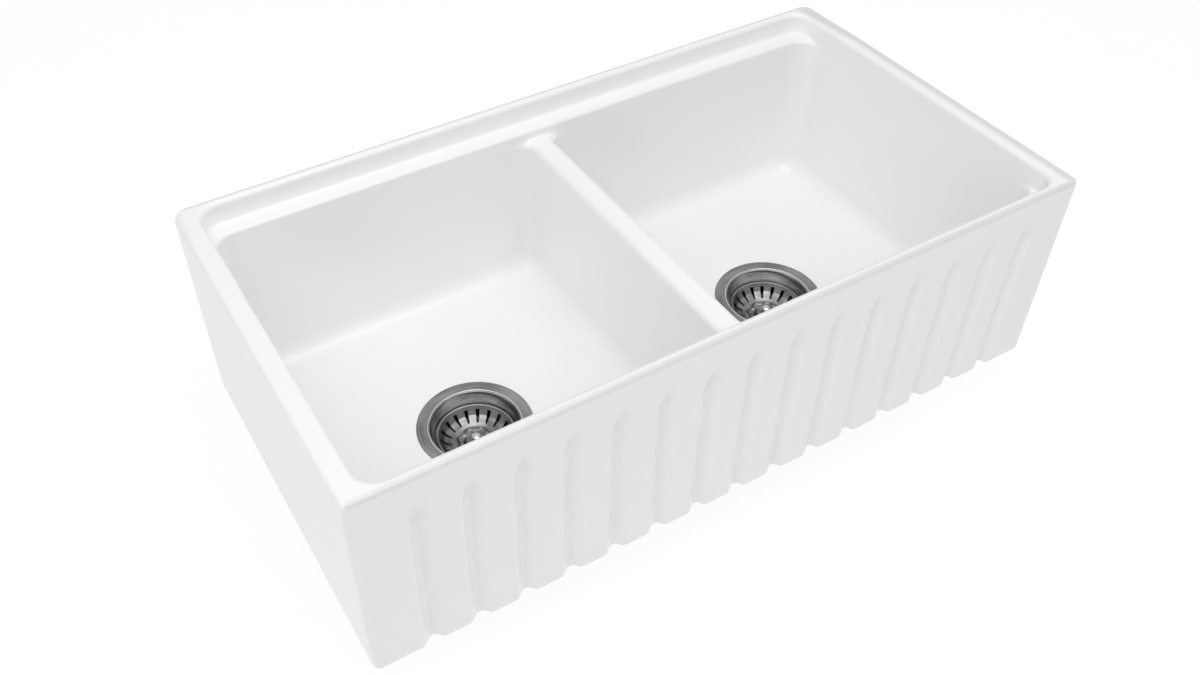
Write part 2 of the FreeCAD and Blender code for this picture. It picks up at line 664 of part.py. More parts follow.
def basket_knob(name, side):
    """Finger knob on the stem's tang, with a domed head."""
    body = new_body(name, side)
    top = BOSS_TOP + "+knob_height"
    head_foot = top + "-knob_head"
    bore = "tang_radius+stem_running"
    bore_end = BOSS_TOP + "+tang_length+stem_running"
    corners = [("0", top), ("knob_radius", top), ("knob_radius", head_foot), ("knob_neck", head_foot),
               ("knob_neck", BOSS_TOP), (bore, BOSS_TOP), (bore, bore_end), ("0", bore_end)]
    turned(body, "knob", corners)
    ease(body, "crown", "Fillet", "knob_round", ring_at(value("knob_radius"), value(top)))


WASTE_PIECES = {
    "strainer_cup": strainer_cup, "flange_gasket": flange_gasket, "under_gasket": under_gasket,
    "waste_body": waste_body, "thread_insert": thread_insert, "centre_bolt": centre_bolt,
    "basket_cup": basket_cup, "basket_seal": basket_seal, "basket_stem": basket_stem,
    "stem_clip": stem_clip, "basket_knob": basket_knob,
}

fireclay_basin()
for side, side_name in ((-1, "left"), (1, "right")):
    for piece_name, make in WASTE_PIECES.items():
        make(side_name + "_" + piece_name, side)
doc.recompute()

for item in doc.Objects:
    if "Invalid" in item.State or "Error" in item.State:
        raise RuntimeError("%s failed: %s" % (item.Name, item.State))
os.makedirs("parts", exist_ok=True)
for body in sub_parts:
    shape = body.Shape
    if shape.isNull() or not shape.isValid() or len(shape.Solids) != 1:
        raise RuntimeError("%s is not one valid solid" % body.Label)
    shape.exportStep("parts/%s.step" % body.Label)
    print("%-24s %9.2f cm3" % (body.Label, shape.Volume / 1000))
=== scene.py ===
"""Farmhouse sink, dressed for its picture: glazed basin, two basket strainer wastes, plain white room.

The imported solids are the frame. Pieces made here stand for solids whose edges and pressings need more
than the solids show. Sizes are in millimetres until a mesh is made, and all meshes are in metres.
"""

from itertools import product
from math import atan2, ceil, cos, hypot, pi, radians, sin, tan

import bmesh
import bpy
import numpy as np
from mathutils import Matrix, Vector


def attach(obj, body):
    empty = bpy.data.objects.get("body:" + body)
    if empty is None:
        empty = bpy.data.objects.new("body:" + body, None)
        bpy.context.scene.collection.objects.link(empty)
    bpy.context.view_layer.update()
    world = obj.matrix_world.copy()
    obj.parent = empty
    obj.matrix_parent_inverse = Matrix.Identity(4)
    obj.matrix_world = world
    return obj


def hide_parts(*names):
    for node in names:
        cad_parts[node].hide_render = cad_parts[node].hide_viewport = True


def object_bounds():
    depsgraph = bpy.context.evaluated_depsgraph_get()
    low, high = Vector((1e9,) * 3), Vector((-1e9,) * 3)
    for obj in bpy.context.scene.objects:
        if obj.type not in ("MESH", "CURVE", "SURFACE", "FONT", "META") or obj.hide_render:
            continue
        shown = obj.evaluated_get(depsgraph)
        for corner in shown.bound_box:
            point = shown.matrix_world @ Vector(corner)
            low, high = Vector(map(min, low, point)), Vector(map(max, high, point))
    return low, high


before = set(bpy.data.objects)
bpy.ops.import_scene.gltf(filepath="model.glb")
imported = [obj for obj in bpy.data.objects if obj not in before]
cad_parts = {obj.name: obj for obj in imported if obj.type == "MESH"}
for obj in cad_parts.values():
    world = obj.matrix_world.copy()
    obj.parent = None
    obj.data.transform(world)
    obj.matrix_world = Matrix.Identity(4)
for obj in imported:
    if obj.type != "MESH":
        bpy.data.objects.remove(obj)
cad_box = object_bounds()
scene = bpy.context.scene
MM = 0.001
SAME_PLACE = 1e-7      # points closer than this, in metres, are one
NEAR = 0.05            # two levels closer than this, in mm, are the same
HOLE_STEPS = 160       # points round a waste hole
SIDES = {"left": -1, "right": 1}

FINE_PITCH, QUICK_PITCH = 1.5, 3.0      # spacing of the grid that the basin's skin comes from, in mm
KEPT_SHARE = 0.22      # share of the skin's faces that stay after thinning

# ---------------------------------------------------------------- sizes of the basin, in mm

HALF_WIDTH, HALF_DEPTH, HEIGHT = (round(edge / MM, 1) for edge in cad_box[1])
EDGE_ROUND = 7.0            # lower edges and the apron's upright edges
BACK_CORNER = 15.0          # upright edges of the back
TOP_ROUND, RIM_ROUND = 5.0, 4.5             # outer and inner edge of the rim
BACK_TOP_ROUND, BACK_RIM_ROUND = 8.0, 5.5   # the same two on the back's rim
TO_BACK = (100.0, 180.0)    # y between which the rim's roundings change to those of the back
BOWL_SIDE = 360.5           # middle of the basin to the inside of an end wall
RECESS_FRONT, RECESS_BACK = 193.2, 190.5    # middle of the basin to the walls above the ledges
LEDGE_EDGE = 173.0          # middle of the basin to the inner edge of a ledge
LEDGE_TOP, RECESS_CORNER = 203.5, 20.0
LEDGE_ROUND, LEDGE_ROOT = 4.0, 3.0
ROOT_START = (150.0, 166.0)     # distance from the middle over which the crease behind a ledge starts
DIVIDER_HALF, DIVIDER_TOP, DIVIDER_ROUND = 12.5, 192.0, 8.5
DIVIDER_CREASE = (25.0, 33.0)   # distance from the middle over which the crease at a divider's end fades
CREASE_START = (12.0, 6.0)      # depth below the divider's top over which that crease fills up
BOWL_CORNER, FRONT_CORNER, DIVIDER_CORNER = 27.0, 13.0, 16.0
FLOOR, FLOOR_ROUND = 22.0, 22.0
FLUTE_PITCH, FLUTE_LAST = 46.35, 7
FLUTE_RADIUS, FLUTE_STANDOFF, FLUTE_LIP = 7.5, 1.5, 4.5
FLUTE_HEAD = 165.0          # height at which a flute starts to run out
FLUTE_RUNOUT = 2.8          # how many times longer than round its head is
DRAIN_X, DRAIN_Y = 184.7, -13.5
DRAIN_BORE, SEAT_RADIUS, SEAT_SINK = 46.5, 59.2, 2.2
CLAMP_RADIUS, CLAMP_SINK = 60.0, 4.0
BORE_ROUND, SEAT_ROUND = 1.0, 0.35
DRAIN_CLEARING = 74.0       # radius round a waste where the basin's skin ends
DRAIN_RINGS = 68.0          # radius where the rings of its waste hole begin

# ---------------------------------------------------------------- sizes of a waste, in mm, from its axis

FLANGE_RADIUS, FLANGE_TOP, MOUTH_RADIUS, SHEET = 58.9, 22.2, 44.6, 0.8
BEAD_RADIUS, BEAD_RISE, BEAD_GROOVE = 47.0, 0.25, 0.6
SHOULDER_RADIUS, SHOULDER_INNER, SHOULDER_TOP, SHOULDER_FOOT = 41.2, 38.2, 7.2, 6.4
CUP_FOOT_RADIUS, CUP_PLATE, HUB_BORE = 37.4, -9.0, 6.0
PORTS, PORT_INNER, PORT_OUTER, PORT_SPOKE = 8, 9.6, 17.4, 2.4
BASKET_RIM, BASKET_TOP, BASKET_EDGE, BASKET_GAUGE = 39.4, 9.0, 7.5, 0.6
NECK_RADIUS, NECK, KNEE_RADIUS, KNEE = 36.6, 6.4, 32.4, 0.7
BASE_RADIUS, BASE, BOSS_RADIUS, BOSS_CROWN, BOSS_TOP = 21.5, -5.5, 12.5, 10.2, 0.0
SLOTS, SLOT_INNER, SLOT_OUTER, SLOT_NARROW, SLOT_WIDE = 18, 25.4, 35.9, 1.7, 4.2
RIB_RISE, RIB_FADE, TANG_BORE = 0.25, 32.0, 1.56
LOBES, RIDGE_RADIUS, RIDGE_WAVE, RIDGE_WIDTH, RIDGE_RISE = 8, 18.6, 1.5, 0.95, 1.5
STUD_RADIUS, STUD_WIDTH, STUD_RISE = 15.3, 1.2, 0.9
KNOB_RADIUS, KNOB_NECK, KNOB_FOOT, KNOB_TOP, KNOB_BORE_END = 5.2, 3.4, 2.6, 6.8, 4.56
BODY_TOP, BODY_FLANGE, BODY_KNEE, BODY_NECK, BODY_END = 1.5, -2.5, -18.5, -36.5, -66.5
BODY_FLANGE_RADIUS, BODY_RADIUS, BODY_WALL, OUTLET_RADIUS, OUTLET_BORE = 55.0, 46.0, 3.0, 23.9, 20.0
INSERT_TOP, BOSS_BORE, BOSS_WALL, WEBS, WEB_THICKNESS = -22.5, 8.05, 3.0, 3, 3.0
THREAD_PITCH, THREAD_DEPTH, THREAD_ROWS = 2.2, 0.9, 7
SHARP_TURN = radians(40)        # edges of a turned piece that turn more than this are shaded sharp
EDGE_TURN, EDGE_SEGMENTS = radians(50), 2       # edges that turn more than this get a bevel
SHEET_BEVEL, SOLID_BEVEL = 0.12, 0.2


# ---------------------------------------------------------------- basin

def rounded_plan(x, y, half_x, half_y, corner):
    """Distance from the outline of a rectangle with round corners, seen from above."""
    over_x = np.abs(x) - (half_x - corner)
    over_y = np.abs(y) - (half_y - corner)
    outside = np.hypot(np.maximum(over_x, 0), np.maximum(over_y, 0))
    return outside + np.minimum(np.maximum(over_x, over_y), 0) - corner


def meet(one, other, radius):
    """Clay that is in both, with the edge between them rounded off."""
    lift = np.hypot(np.maximum(one + radius, 0), np.maximum(other + radius, 0))
    return np.minimum(-radius, np.maximum(one, other)) + lift


def join(one, other, radius):
    """Clay that is in either, with the crease between them filled."""
    fill = np.hypot(np.maximum(radius - one, 0), np.maximum(radius - other, 0))
    return np.maximum(radius, np.minimum(one, other)) - fill


def ramp(value, start, end):
    """0 before start, 1 after end, smooth between."""
    share = np.clip((value - start) / (end - start), 0, 1)
    return share * share * (3 - 2 * share)


def flute_hollow(x, y, z):
    """Distance from the hollow of the nearest flute: a long head, a shaft, a toe round the lower edge."""
    number = np.clip(np.round(x / FLUTE_PITCH), -FLUTE_LAST, FLUTE_LAST)
    side = x - number * FLUTE_PITCH
    from_axis = np.hypot(side, y + HALF_DEPTH + FLUTE_STANDOFF)
    shaft = np.hypot(from_axis, np.maximum(z - FLUTE_HEAD, 0) / FLUTE_RUNOUT)
    edge_y, bend = EDGE_ROUND - HALF_DEPTH, EDGE_ROUND + FLUTE_STANDOFF
    toe = np.hypot(side, np.hypot(y - edge_y, z - EDGE_ROUND) - bend)
    toe_end = np.hypot(side, np.hypot(y - edge_y, z - EDGE_ROUND + bend))
    toe = np.where(y < edge_y, toe, toe_end)
    return np.where(z > EDGE_ROUND, shaft, toe) - FLUTE_RADIUS


def undrilled_clay(x, y, z):
    """How far a point is outside the basin without its waste holes, in mm; negative inside the clay."""
    corner = np.where(y > 0, BACK_CORNER, EDGE_ROUND)
    to_back = ramp(y, *TO_BACK)
    top_round = TOP_ROUND + (BACK_TOP_ROUND - TOP_ROUND) * to_back
    block = meet(rounded_plan(x, y, HALF_WIDTH, HALF_DEPTH, corner), z - HEIGHT, top_round)
    block = meet(block, -z, EDGE_ROUND)
    recess = rounded_plan(x, y, BOWL_SIDE, np.where(y > 0, RECESS_BACK, RECESS_FRONT), RECESS_CORNER)
    rim = meet(-recess, z - HEIGHT, RIM_ROUND + (BACK_RIM_ROUND - RIM_ROUND) * to_back)
    outer_corner = np.where(y > 0, BOWL_CORNER, FRONT_CORNER)
    well = rounded_plan(x, y, BOWL_SIDE, LEDGE_EDGE, outer_corner)
    ledge = meet(-well, z - LEDGE_TOP, LEDGE_ROUND)
    upper = join(rim, ledge, LEDGE_ROOT * ramp(np.abs(y), *ROOT_START))
    bowl_middle = (BOWL_SIDE + DIVIDER_HALF) / 2
    bowl_half = (BOWL_SIDE - DIVIDER_HALF) / 2
    bowl_corner = np.where(np.abs(x) < bowl_middle, DIVIDER_CORNER, outer_corner)
    bowl = rounded_plan(np.abs(x) - bowl_middle, y, bowl_half, LEDGE_EDGE, bowl_corner)
    divider = meet(-bowl, z - DIVIDER_TOP, DIVIDER_ROUND)
    crease = (1 - ramp(np.abs(x), *DIVIDER_CREASE)) * ramp(DIVIDER_TOP - z, *CREASE_START)
    walls = join(upper, divider, LEDGE_ROOT * crease)
    body = np.maximum(block, join(walls, z - FLOOR, FLOOR_ROUND))
    return meet(body, -flute_hollow(x, y, z), FLUTE_LIP)


def clay(x, y, z):
    """How far a point is outside the whole basin, with its waste holes."""
    from_drain = np.hypot(np.abs(x) - DRAIN_X, y - DRAIN_Y)
    body = meet(undrilled_clay(x, y, z), DRAIN_BORE - from_drain, BORE_ROUND)
    seat = np.maximum(from_drain - SEAT_RADIUS, FLOOR - SEAT_SINK - z)
    body = meet(body, -seat, SEAT_ROUND)
    clamp_face = np.maximum(from_drain - CLAMP_RADIUS, z - CLAMP_SINK)
    return meet(body, -clamp_face, SEAT_ROUND)


def slope(distance, points, step=0.05):
    """Gradient of a distance at each point."""
    x, y, z = points.T
    return np.stack([distance(x + step, y, z) - distance(x - step, y, z),
                     distance(x, y + step, z) - distance(x, y - step, z),
                     distance(x, y, z + step) - distance(x, y, z - step)], axis=1) / (2 * step)


def settle(points, rounds=4):
    """Points moved onto the surface of the undrilled clay."""
    for _ in range(rounds):
        push = slope(undrilled_clay, points)
        far = undrilled_clay(*points.T) / np.maximum((push ** 2).sum(axis=1), 0.25)
        points = points - push * far[:, None]
    return points


def clay_grid(pitch):
    """The first corner of a grid over the basin's right half, and the clay distance at each grid point."""
    counts = [ceil(HALF_WIDTH / pitch) + 3, ceil(2 * HALF_DEPTH / pitch) + 5, ceil(HEIGHT / pitch) + 5]
    start = np.array([-pitch / 2, -HALF_DEPTH - 2.37 * pitch, -2.37 * pitch])
    xs, ys, zs = (start[n] + pitch * np.arange(counts[n]) for n in range(3))
    distance = np.empty(counts, np.float32)
    for n, x in enumerate(xs):
        distance[n] = undrilled_clay(x, ys[:, None], zs[None, :])
    return start, distance


def crossed_cells(distance):
    """Numbers for the cells that the surface passes through, and the middle of each one's crossings."""
    inside = distance < 0
    shape = [count - 1 for count in distance.shape]
    corners_inside = np.zeros(shape, np.int8)
    for corner in product((0, 1), repeat=3):
        corners_inside += inside[tuple(slice(low, low + size) for low, size in zip(corner, shape))]
    mixed = (corners_inside > 0) & (corners_inside < 8)
    number = np.full(mixed.shape, -1, np.int64)
    number[mixed] = np.arange(mixed.sum())
    at = np.argwhere(mixed)
    total, weight = np.zeros((len(at), 3)), np.zeros(len(at))
    for axis in range(3):
        for corner in product((0, 1), repeat=2):
            low = np.insert(corner, axis, 0)
            high = np.insert(corner, axis, 1)
            one = distance[tuple((at + low).T)]
            two = distance[tuple((at + high).T)]
            crosses = (one < 0) != (two < 0)
            share = np.where(crosses, one / np.where(crosses, one - two, 1), 0)
            total += crosses[:, None] * (at + low + share[:, None] * (high - low))
            weight += crosses
    return number, total / weight[:, None]


def crossed_edges(distance, number):
    """A quad for each grid edge that the surface crosses, between the four cells round it."""
    inside = distance < 0
    quads = []
    for axis in range(3):
        others = [n for n in range(3) if n != axis]
        low = [slice(1, -1)] * 3
        low[axis] = slice(0, distance.shape[axis] - 1)
        high = list(low)
        high[axis] = slice(1, distance.shape[axis])
        one, two = inside[tuple(low)], inside[tuple(high)]
        edge = np.argwhere(one != two)
        solid_first = one[tuple(edge.T)]
        edge[:, others] += 1
        ring = []
        for shift in ((-1, -1), (0, -1), (0, 0), (-1, 0)):
            cell = edge.copy()
            cell[:, others] += shift
            ring.append(number[tuple(cell.T)])
        ring = np.stack(ring, axis=1)
        outward = solid_first if axis != 1 else ~solid_first
        ring[~outward] = ring[~outward][:, ::-1]
        quads.append(ring)
    return np.concatenate(quads)


def basin_skin(pitch):
    """Vertices and quads of the basin's right half, and which vertices lie on the seam in its middle."""
    start, distance = clay_grid(pitch)
    number, cells = crossed_cells(distance)
    points = start + pitch * cells
    seam = np.abs(points[:, 0]) < 0.75 * pitch
    points = settle(points)
    points[seam, 0] = 0
    return points, crossed_edges(distance, number), seam


def mirrored(points, quads, seam):
    """The right half and its mirror image, sharing the seam's vertices."""
    twin = np.arange(len(points))
    twin[~seam] = len(points) + np.arange((~seam).sum())
    left = points[~seam] * (-1, 1, 1)
    both = np.concatenate([quads, twin[quads][:, ::-1]])
    flat = seam[quads].all(axis=1)
    return np.concatenate([points, left]), both[~np.concatenate([flat, flat])]


def new_piece(name, points, faces, body, slot, replaced, place=(0, 0, 0), closed=False):
    """A mesh piece that rides on a body. points and place are in mm. closed says that it is a solid."""
    mesh = bpy.data.meshes.new(name)
    faces = np.asarray(faces)
    mesh.vertices.add(len(points))
    mesh.vertices.foreach_set("co", (np.asarray(points) * MM).astype(np.float32).ravel())
    mesh.loops.add(faces.size)
    mesh.loops.foreach_set("vertex_index", faces.astype(np.int32).ravel())
    mesh.polygons.add(len(faces))
    mesh.polygons.foreach_set("loop_start", np.arange(0, faces.size, faces.shape[1], dtype=np.int32))
    mesh.update(calc_edges=True)
    if closed:
        solid = bmesh.new()
        solid.from_mesh(mesh)
        bmesh.ops.remove_doubles(solid, verts=solid.verts, dist=SAME_PLACE)
        bmesh.ops.recalc_face_normals(solid, faces=solid.faces)
        solid.to_mesh(mesh)
        solid.free()
    mesh.shade_smooth()
    piece = bpy.data.objects.new(name, mesh)
    scene.collection.objects.link(piece)
    piece.location = [MM * value for value in place]
    bpy.context.view_layer.update()
    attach(piece, body)
    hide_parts(*replaced)
    return piece


def eased(corners, closed=True, steps=4):
    """Points of an outline whose corners are given as (radius, height, rounding)."""
    outline = []
    for n, (radius, height, rounding) in enumerate(corners):
        corner = np.array((radius, height))
        if not rounding or (not closed and n in (0, len(corners) - 1)):
            outline.append(corner)
            continue
        before = np.array(corners[n - 1][:2]) - corner
        after = np.array(corners[(n + 1) % len(corners)][:2]) - corner
        room = 0.48 * min(hypot(*before), hypot(*after))
        before, after = before / hypot(*before), after / hypot(*after)
        half = np.arccos(np.clip(before @ after, -1, 1)) / 2
        reach = min(rounding / tan(half), room)
        middle = before + after
        centre = corner + middle / hypot(*middle) * reach / cos(half)
        start, end = corner + before * reach - centre, corner + after * reach - centre
        first, last = atan2(start[1], start[0]), atan2(end[1], end[0])
        swing = (last - first + pi) % (2 * pi) - pi
        for angle in first + swing * np.linspace(0, 1, steps + 1):
            outline.append(centre + hypot(*start) * np.array((cos(angle), sin(angle))))
    return np.array(outline)


def close_rows(outline, step, closed=False):
    """The outline with long runs divided into steps of this size."""
    ends = np.roll(outline, -1, axis=0) if closed else outline[1:]
    rows = []
    for start, end in zip(outline, ends):
        parts = max(1, round(hypot(*(end - start)) / step))
        rows += [start + (end - start) * n / parts for n in range(parts)]
    return np.array(rows if closed else rows + [outline[-1]])


def grid_faces(rows, columns, row_wrap):
    """Quads between rows of points that go round the axis; they face up where the rows run inward."""
    row = np.arange(rows if row_wrap else rows - 1)[:, None]
    column = np.arange(columns)[None, :]
    after_row, after_column = (row + 1) % rows, (column + 1) % columns
    quads = [row * columns + column, row * columns + after_column,
             after_row * columns + after_column, after_row * columns + column]
    return np.stack(quads, axis=-1)


def turned(outline, steps):
    """A solid turned from a closed outline, as points and quads."""
    angle = 2 * pi * np.arange(steps) / steps
    radius, height = outline[:, :1], outline[:, 1:]
    points = np.stack([radius * np.cos(angle), radius * np.sin(angle), height + 0 * angle], axis=-1)
    return points.reshape(-1, 3), grid_faces(len(outline), steps, True).reshape(-1, 4)


def cleared(points, faces):
    """The skin without the round places where the waste holes' rings go."""
    out_x = np.abs(points[:, 0]) - DRAIN_X
    out_y = points[:, 1] - DRAIN_Y
    reach = np.hypot(out_x, out_y)
    stays = (reach[faces] >= DRAIN_CLEARING).all(axis=1)
    at_edge = np.zeros(len(points), bool)
    at_edge[faces[~stays].ravel()] = True
    used = np.zeros(len(points), bool)
    used[faces[stays].ravel()] = True
    at_edge &= used
    share = DRAIN_CLEARING / reach[at_edge]
    points[at_edge, 0] = np.sign(points[at_edge, 0]) * (DRAIN_X + out_x[at_edge] * share)
    points[at_edge, 1] = DRAIN_Y + out_y[at_edge] * share
    number = np.cumsum(used) - 1
    return points[used], number[faces[stays]]


def add_hole_rings(solid, side):
    """Floor, seat, bore and clamping face round one waste hole, joined to the skin."""
    rings = eased([
        (DRAIN_RINGS, FLOOR, 0), (SEAT_RADIUS, FLOOR, SEAT_ROUND), (SEAT_RADIUS, FLOOR - SEAT_SINK, 0),
        (DRAIN_BORE, FLOOR - SEAT_SINK, BORE_ROUND), (DRAIN_BORE, CLAMP_SINK, BORE_ROUND),
        (CLAMP_RADIUS, CLAMP_SINK, 0), (CLAMP_RADIUS, 0, SEAT_ROUND), (DRAIN_RINGS, 0, 0)], closed=False)
    points, _ = turned(rings, HOLE_STEPS)
    made = [solid.verts.new(((x + side * DRAIN_X) * MM, (y + DRAIN_Y) * MM, z * MM)) for x, y, z in points]
    for quad in grid_faces(len(rings), HOLE_STEPS, False).reshape(-1, 4):
        solid.faces.new([made[n] for n in quad])
    solid.edges.ensure_lookup_table()
    rims = [edge for edge in solid.edges if edge.is_boundary and edge.verts[0].co.x * side > 0]
    for level in (FLOOR, 0):
        bmesh.ops.bridge_loops(solid, edges=[
            edge for edge in rims if abs(edge.verts[0].co.z / MM - level) < NEAR])


def vertex_places(mesh):
    """Places of a mesh's vertices, in mm."""
    places = np.zeros(len(mesh.vertices) * 3)
    mesh.vertices.foreach_get("co", places)
    return places.reshape(-1, 3) / MM


def glazed_basin():
    """The basin's skin with its waste holes, thinned where it is flat and shaded by the clay's slope."""
    points, faces = cleared(*mirrored(*basin_skin(FINE_PITCH)))
    basin = new_piece("glazed_basin", points, faces, "basin", "fireclay_glaze", ["fireclay_basin"])
    thin = basin.modifiers.new("thin", "DECIMATE")
    thin.ratio = KEPT_SHARE
    shown = basin.evaluated_get(bpy.context.evaluated_depsgraph_get())
    mesh = bpy.data.meshes.new_from_object(shown)
    basin.modifiers.clear()
    basin.data = mesh
    places = settle(vertex_places(mesh), rounds=2)
    mesh.vertices.foreach_set("co", (places * MM).astype(np.float32).ravel())
    solid = bmesh.new()
    solid.from_mesh(mesh)
    for side in SIDES.values():
        add_hole_rings(solid, side)
    bmesh.ops.recalc_face_normals(solid, faces=solid.faces)
    solid.to_mesh(mesh)
    solid.free()
    normals = slope(clay, vertex_places(mesh))
    normals /= np.linalg.norm(normals, axis=1)[:, None]
    mesh.shade_smooth()
    mesh.normals_split_custom_set_from_vertices(normals)
    return basin


basin = glazed_basin()


# ---------------------------------------------------------------- wastes

def pressed_sheet(line, count, inner, outer, half_widths, columns, relief, step):
    """A sheet turned from a line that runs inward, with a ring of wedge-shaped holes cut out of it.

    columns is how many go across a hole and across the metal beside it. relief(radius, height, angle,
    across) presses the sheet further; across runs from -1 to 1 over the metal between two holes.
    """
    line = close_rows(line, step)
    for limit in (outer, inner):
        n = next(n for n in range(len(line) - 1) if line[n][0] > limit >= line[n + 1][0])
        share = (line[n][0] - limit) / (line[n][0] - line[n + 1][0])
        line = np.insert(line, n + 1, line[n] + share * (line[n + 1] - line[n]), axis=0)
    radius, height = line.T
    within = np.clip(radius, inner, outer)
    half_angle = np.arcsin(np.interp(within, (inner, outer), half_widths) / within)[:, None]
    over_hole = np.linspace(-1, 1, columns[0], endpoint=False)
    over_metal = np.linspace(0, 1, columns[1], endpoint=False)
    sector = 2 * pi / count
    angle = np.concatenate([half_angle * over_hole,
                            half_angle + (sector - 2 * half_angle) * over_metal], axis=1)
    angle = np.concatenate([angle + sector * n for n in range(count)], axis=1)
    across = np.tile(np.concatenate([np.ones(columns[0]), 2 * over_metal - 1]), count)
    radius, height = relief(radius[:, None] + 0 * angle, height[:, None] + 0 * angle, angle, across)
    points = np.stack([radius * np.cos(angle), radius * np.sin(angle), height], axis=-1)
    quads = grid_faces(*angle.shape, False)
    near = 1e-6
    in_hole_row = (line[:-1, 0] <= outer + near) & (line[1:, 0] >= inner - near)
    in_hole_column = np.tile(np.arange(sum(columns)) < columns[0], count)
    return points.reshape(-1, 3), quads[~(in_hole_row[:, None] & in_hole_column)]


def ease_edges(piece, width):
    """A bevel of this width in mm on a piece's sharp edges."""
    edges = piece.modifiers.new("edges", "BEVEL")
    edges.width, edges.segments = width * MM, EDGE_SEGMENTS
    edges.limit_method, edges.angle_limit = "ANGLE", EDGE_TURN


def waste_piece(name, side, shape, body, slot, node, sheet_gauge=0):
    """A piece on a waste's axis, from points and quads in mm measured from that axis."""
    piece = new_piece(side + "_" + name, *shape, body, slot, [side + "_" + node],
                      place=(SIDES[side] * DRAIN_X, DRAIN_Y, 0), closed=not sheet_gauge)
    piece.data.set_sharp_from_angle(angle=SHARP_TURN)
    if sheet_gauge:
        gauge = piece.modifiers.new("gauge", "SOLIDIFY")
        gauge.thickness, gauge.offset = sheet_gauge * MM, -1
        gauge.use_even_offset = True
        ease_edges(piece, SHEET_BEVEL)
    return piece


def strainer(side):
    """Flange, beaded mouth, tapered wall, shoulder and a bottom with outlets."""
    bead_top = FLANGE_TOP + BEAD_RISE
    line = eased([
        (FLANGE_RADIUS - 0.1, FLANGE_TOP - 0.6, 0), (FLANGE_RADIUS, FLANGE_TOP, 0.45),
        (BEAD_RADIUS + 1, FLANGE_TOP, 0.3), (BEAD_RADIUS + 0.5, FLANGE_TOP - BEAD_GROOVE, 0.3),
        (BEAD_RADIUS, bead_top, 0.35), (BEAD_RADIUS - 0.9, bead_top, 0.5),
        (MOUTH_RADIUS + 0.8, FLANGE_TOP - 1.4, 0.8),
        (SHOULDER_RADIUS + 0.8, SHOULDER_TOP + 4.0, 5), (SHOULDER_RADIUS, SHOULDER_TOP, 1.2),
        (SHOULDER_INNER, SHOULDER_FOOT, 0.8), (CUP_FOOT_RADIUS, CUP_PLATE, 3.0),
        (PORT_OUTER + 4, CUP_PLATE, 0.6), (PORT_OUTER + 2.6, CUP_PLATE - 0.5, 0.6),
        (HUB_BORE, CUP_PLATE - 0.5, 0)], closed=False, steps=5)
    half_widths = [radius * tan(pi / PORTS) - PORT_SPOKE / 2 for radius in (PORT_INNER, PORT_OUTER)]
    shape = pressed_sheet(line, PORTS, PORT_INNER, PORT_OUTER, half_widths, (14, 6),
                          lambda radius, height, angle, across: (radius, height), 1.2)
    return waste_piece("strainer", side, shape, "basin", "strainer_steel", "strainer_cup", SHEET)


def basket(side):
    """Beaded rim, slotted wall with a knee, and a raised middle with eight lobes."""
    line = eased([
        (BASKET_RIM - 0.5, BASKET_EDGE - 0.5, 0), (BASKET_RIM, BASKET_EDGE + 0.3, 0.5),
        (BASKET_RIM, BASKET_TOP, 0.7), (BASKET_RIM - 1.4, BASKET_TOP, 0.7),
        (NECK_RADIUS + 0.3, NECK + 0.8, 1.6), (KNEE_RADIUS, KNEE, 2.4), (BASE_RADIUS + 0.6, BASE, 3.5),
        (BOSS_RADIUS + 0.6, BASE, 1.2), (BOSS_CROWN, BOSS_TOP, 1.6), (TANG_BORE, BOSS_TOP, 0)],
        closed=False, steps=5)

    def relief(radius, height, angle, across):
        ribs = ramp(radius, SLOT_INNER - 2, SLOT_INNER + 3) * (1 - ramp(radius, RIB_FADE, SLOT_OUTER))
        rib = RIB_RISE * (1 - across ** 2) * ribs
        from_ridge = radius - RIDGE_RADIUS - RIDGE_WAVE * np.cos(LOBES * angle)
        ridge = RIDGE_RISE * np.exp(-(from_ridge / RIDGE_WIDTH) ** 2)
        aside = radius * (np.mod(angle * LOBES / (2 * pi), 1) - 0.5) * 2 * pi / LOBES
        from_stud = np.hypot(radius - STUD_RADIUS, aside)
        stud = STUD_RISE * np.exp(-(from_stud / STUD_WIDTH) ** 2)
        return radius, height + rib + ridge + stud

    shape = pressed_sheet(line, SLOTS, SLOT_INNER, SLOT_OUTER, (SLOT_NARROW / 2, SLOT_WIDE / 2),
                          (4, 10), relief, 0.6)
    return waste_piece("slotted_basket", side, shape, side + "_basket", "basket_steel", "basket_cup",
                       BASKET_GAUGE)


def knob(side):
    """Finger knob with a domed head and a fine groove under the dome."""
    outline = eased([
        (0, KNOB_TOP, 0), (KNOB_RADIUS / 2, KNOB_TOP, 1.2), (KNOB_RADIUS - 0.7, KNOB_TOP - 1.3, 1.6),
        (KNOB_RADIUS, KNOB_FOOT + 1.9, 0.9), (KNOB_RADIUS - 0.35, KNOB_FOOT + 1.6, 0.2),
        (KNOB_RADIUS, KNOB_FOOT + 1.3, 0.2), (KNOB_RADIUS, KNOB_FOOT, 0.6),
        (KNOB_NECK, KNOB_FOOT - 0.3, 0.6), (KNOB_NECK, BOSS_TOP, 0.2), (TANG_BORE, BOSS_TOP, 0),
        (TANG_BORE, KNOB_BORE_END, 0), (0, KNOB_BORE_END, 0)], steps=6)
    return waste_piece("knob", side, turned(outline, steps=64), side + "_stem", "polished_knob",
                       "basket_knob")


